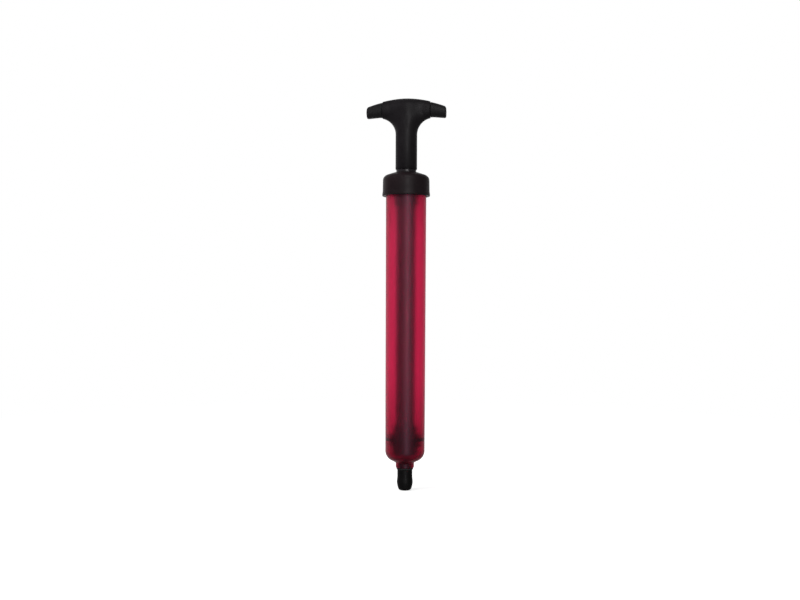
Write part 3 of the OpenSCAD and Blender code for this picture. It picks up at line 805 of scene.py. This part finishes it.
def flipped(rows, side, face):
    """Rows mirrored to the left for side -1, and to the back for face -1."""
    return [[(side * x, face * y, z) for x, y, z in row] for row in rows]


def around_pin(ring, x):
    """A circle about the grip's pin that lines up with a ring round it."""
    angles = [atan2(z - PIN_Z, y) for _, y, z in ring]
    return [(x, PIN_R * cos(a), PIN_Z + PIN_R * sin(a)) for a in angles]


def handle_mesh():
    """Four quarters and the crown, with a pin on each arm and a plug with a hollow core below."""
    form = Form()
    quarter = quarter_rows()
    crown = crown_rows()
    for side in (1, -1):
        for face in (1, -1):
            form.skin(flipped(quarter, side, face), around=False)
        form.skin(flipped(crown, side, 1), around=False)
        front = quarter[-1]
        back = flipped([front], 1, -1)[0]
        end = flipped([front + crown[-1][1:-1] + back[:0:-1]], side, 1)[0]
        pin = around_pin(end, side * SEAM_X)
        pin_end = around_pin(end, side * PIN_END_X)
        form.skin([end, pin, pin_end])
        form.lid(pin_end)
    count = 4 * COLUMNS
    foot = [
        circle(STEM_R, STEM_Z + STEM_CHAMFER, count),
        circle(STEM_R - STEM_CHAMFER, STEM_Z, count),
        circle(PLUG_R, STEM_Z, count),
        circle(PLUG_R, PLUG_Z, count),
        circle(CORE_R, PLUG_Z, count),
        circle(CORE_R, STEM_Z + CORE_LENGTH, count),
    ]
    form.skin(foot)
    form.lid(foot[-1])
    return form.mesh("t_handle")


SOFT_EDGE = 0.2
SOFT_STEPS = 3


def soften(piece):
    """Rounds the sharp edges of a piece."""
    bevel = piece.modifiers.new("soft_edges", "BEVEL")
    bevel.width = SOFT_EDGE * MM
    bevel.segments = SOFT_STEPS
    bevel.limit_method = "ANGLE"
    bevel.angle_limit = CREASE


soften(place("t_handle", handle_mesh(), BLACK, "plunger", "black_plastic", "handle"))

# Grips: the arms' ends, lofted along X with a rounded tip and a socket for the pin
GRIP_SIDES = 72
GRIP_ROWS = 20
TIP_ROWS = 10
PIN_CLEARANCE = 0.35


def grip_ring(x, tip_inset):
    """Oval section of a grip, a little smaller than the arm at the seam."""
    share = (x - SEAM_X) / (TIP_X - SEAM_X)
    inset = tip_inset + SEAM_STEP * (1 - share)
    high = arm_top(x) - inset
    low = arm_under(x) + inset
    half = (SEAM_DEPTH + (TIP_DEPTH - SEAM_DEPTH) * share) / 2 - inset
    return [
        (x, half * cos(a), (high + low) / 2 + (high - low) / 2 * sin(a)) for a in full_turn(GRIP_SIDES)
    ]


def grip_mesh(name, side):
    """A grip with the socket's mouth at the seam. Side is 1 for the right one."""
    length = TIP_X - TIP_ROUND - GRIP_X
    rings = [grip_ring(GRIP_X + length * i / GRIP_ROWS, 0) for i in range(GRIP_ROWS + 1)]
    for i in range(1, TIP_ROWS + 1):
        a = pi / 2 * i / TIP_ROWS
        rings.append(grip_ring(TIP_X - TIP_ROUND * (1 - sin(a)), TIP_ROUND * (1 - cos(a))))
    form = Form()
    form.skin(flipped(rings, side, 1))
    form.lid(flipped([rings[-1]], side, 1)[0])
    mouth = around_pin(rings[0], GRIP_X)
    socket_end = around_pin(rings[0], PIN_END_X + PIN_CLEARANCE)
    form.skin(flipped([rings[0], mouth, socket_end], side, 1))
    form.lid(flipped([socket_end], side, 1)[0])
    return form.mesh(name)


for name, side in (("left", -1), ("right", 1)):
    soften(place(name + "_arm_end", grip_mesh(name, side), GRIP, "plunger", "grip_plastic", name + "_grip"))

# Pieces that keep their own mesh
for node, material in {
    "rod_guide": BLACK,
    "needle_gasket": RUBBER,
    "valve_seat": ACETAL,
    "valve_poppet": NYLON,
    "valve_disc": RUBBER,
    "piston_head": ACETAL,
    "rod_end": ACETAL,
    "piston_washer": BLACK_STEEL,
    "piston_screw": BLACK_STEEL,
}.items():
    nodes[node].data.materials.clear()
    nodes[node].data.materials.append(material)

# Surround: white, apart from a dim front in reflections and a dimmer light on matte surfaces
AMBIENT = 0.5
FRONT_GLOSS = 0.05
BEHIND = (-0.25, 0.97, 0.0)
BEHIND_START = 0.25
BEHIND_FULL = 1.0


def surround():
    """The world's background, brighter in reflections the further behind the pump it is."""
    world = bpy.data.worlds.new("surround")
    world.use_nodes = True
    graph = Graph(world.node_tree)
    direct, seen = graph.background_rays()
    heading = graph.node("ShaderNodeTexCoord").outputs["Generated"]
    across = graph.node("ShaderNodeVectorMath", {0: heading, 1: BEHIND}, operation="DOT_PRODUCT")
    gloss = graph.node("ShaderNodeMapRange", {
        "Value": across.outputs["Value"],
        "From Min": BEHIND_START,
        "From Max": BEHIND_FULL,
        "To Min": FRONT_GLOSS,
    })
    shown = graph.math("MAXIMUM", direct, gloss.outputs["Result"])
    strength = graph.node("ShaderNodeMix", {0: seen, 2: AMBIENT, 3: shown}).outputs[0]
    background = world.node_tree.nodes["Background"]
    background.inputs["Color"].default_value = colour(1.0, 1.0, 1.0)
    world.node_tree.links.new(strength, background.inputs["Strength"])
    return world


scene.world = surround()

# Floor: just below the pump, pale enough to fade into the surround
FLOOR_SIZE = 3.0
FLOOR_DROP = 0.0002
FLOOR_GREY = 0.82
FLOOR_LIFT = 0.62
FLOOR_NEAR = 0.25
FLOOR_FAR = 0.7


def floor_material():
    """Matte white near the pump, so that it takes the shadow, and plain white further off and from below."""
    material = bpy.data.materials.new("pale_floor")
    material.use_nodes = True
    material.node_tree.nodes.clear()
    graph = Graph(material.node_tree)
    seen = graph.background_rays()[1]
    grey = colour(FLOOR_GREY, FLOOR_GREY, FLOOR_GREY)
    matte = graph.node("ShaderNodeBsdfDiffuse", {"Color": grey}).outputs[0]
    lift = graph.node("ShaderNodeEmission", {"Strength": graph.math("MULTIPLY", seen, FLOOR_LIFT)}).outputs[0]
    near = graph.node("ShaderNodeAddShader", {0: matte, 1: lift}).outputs[0]
    level = graph.node("ShaderNodeMapRange", {"Value": seen, "To Min": AMBIENT}).outputs["Result"]
    far = graph.node("ShaderNodeEmission", {"Strength": level}).outputs[0]
    spot = graph.node("ShaderNodeTexCoord").outputs["Object"]
    away = graph.node("ShaderNodeVectorMath", {0: spot}, operation="LENGTH").outputs["Value"]
    share = graph.spread(away, 0.0, 1.0, FLOOR_NEAR, FLOOR_FAR)
    top = graph.node("ShaderNodeMixShader", {0: share, 1: near, 2: far}).outputs[0]
    under = graph.node("ShaderNodeBsdfTransparent").outputs[0]
    below = graph.node("ShaderNodeNewGeometry").outputs["Backfacing"]
    both = graph.node("ShaderNodeMixShader", {0: below, 1: top, 2: under}).outputs[0]
    graph.node("ShaderNodeOutputMaterial", {"Surface": both})
    return material


floor_mesh = bpy.data.meshes.new("floor")
floor_mesh.from_pydata(
    [(x * FLOOR_SIZE, y * FLOOR_SIZE, -FLOOR_DROP) for x, y in ((-1, -1), (1, -1), (1, 1), (-1, 1))],
    [],
    [(0, 1, 2, 3)],
)
floor_mesh.materials.append(floor_material())
floor = bpy.data.objects.new("floor", floor_mesh)
scene.collection.objects.link(floor)
floor.visible_glossy = False
floor.visible_shadow = False


# Light: a large soft box high on the left, and a tall narrow strip just right of the camera
def soft_box(name, turn, height, distance, width, length, power):
    """A soft box aimed at the middle of the pump. Turn is its angle to the right of the front."""
    lamp = bpy.data.objects.new(name, bpy.data.lights.new(name, "AREA"))
    lamp.data.shape = "RECTANGLE"
    lamp.data.size = width
    lamp.data.size_y = length
    lamp.data.energy = power
    lamp.location = (distance * sin(turn), -distance * cos(turn), height)
    aim = Vector((0, 0, CAMERA_HEIGHT)) - lamp.location
    lamp.rotation_euler = aim.to_track_quat("-Z", "Y").to_euler()
    scene.collection.objects.link(lamp)
    return lamp


left_box = soft_box(
    "left_box", turn=radians(-55), height=0.945, distance=0.95, width=0.9, length=0.9, power=8.25
)
left_box.visible_glossy = False
front_strip = soft_box(
    "front_strip", turn=radians(16), height=0.55, distance=1.1, width=0.08, length=2.0, power=12.0
)
front_strip.visible_diffuse = False
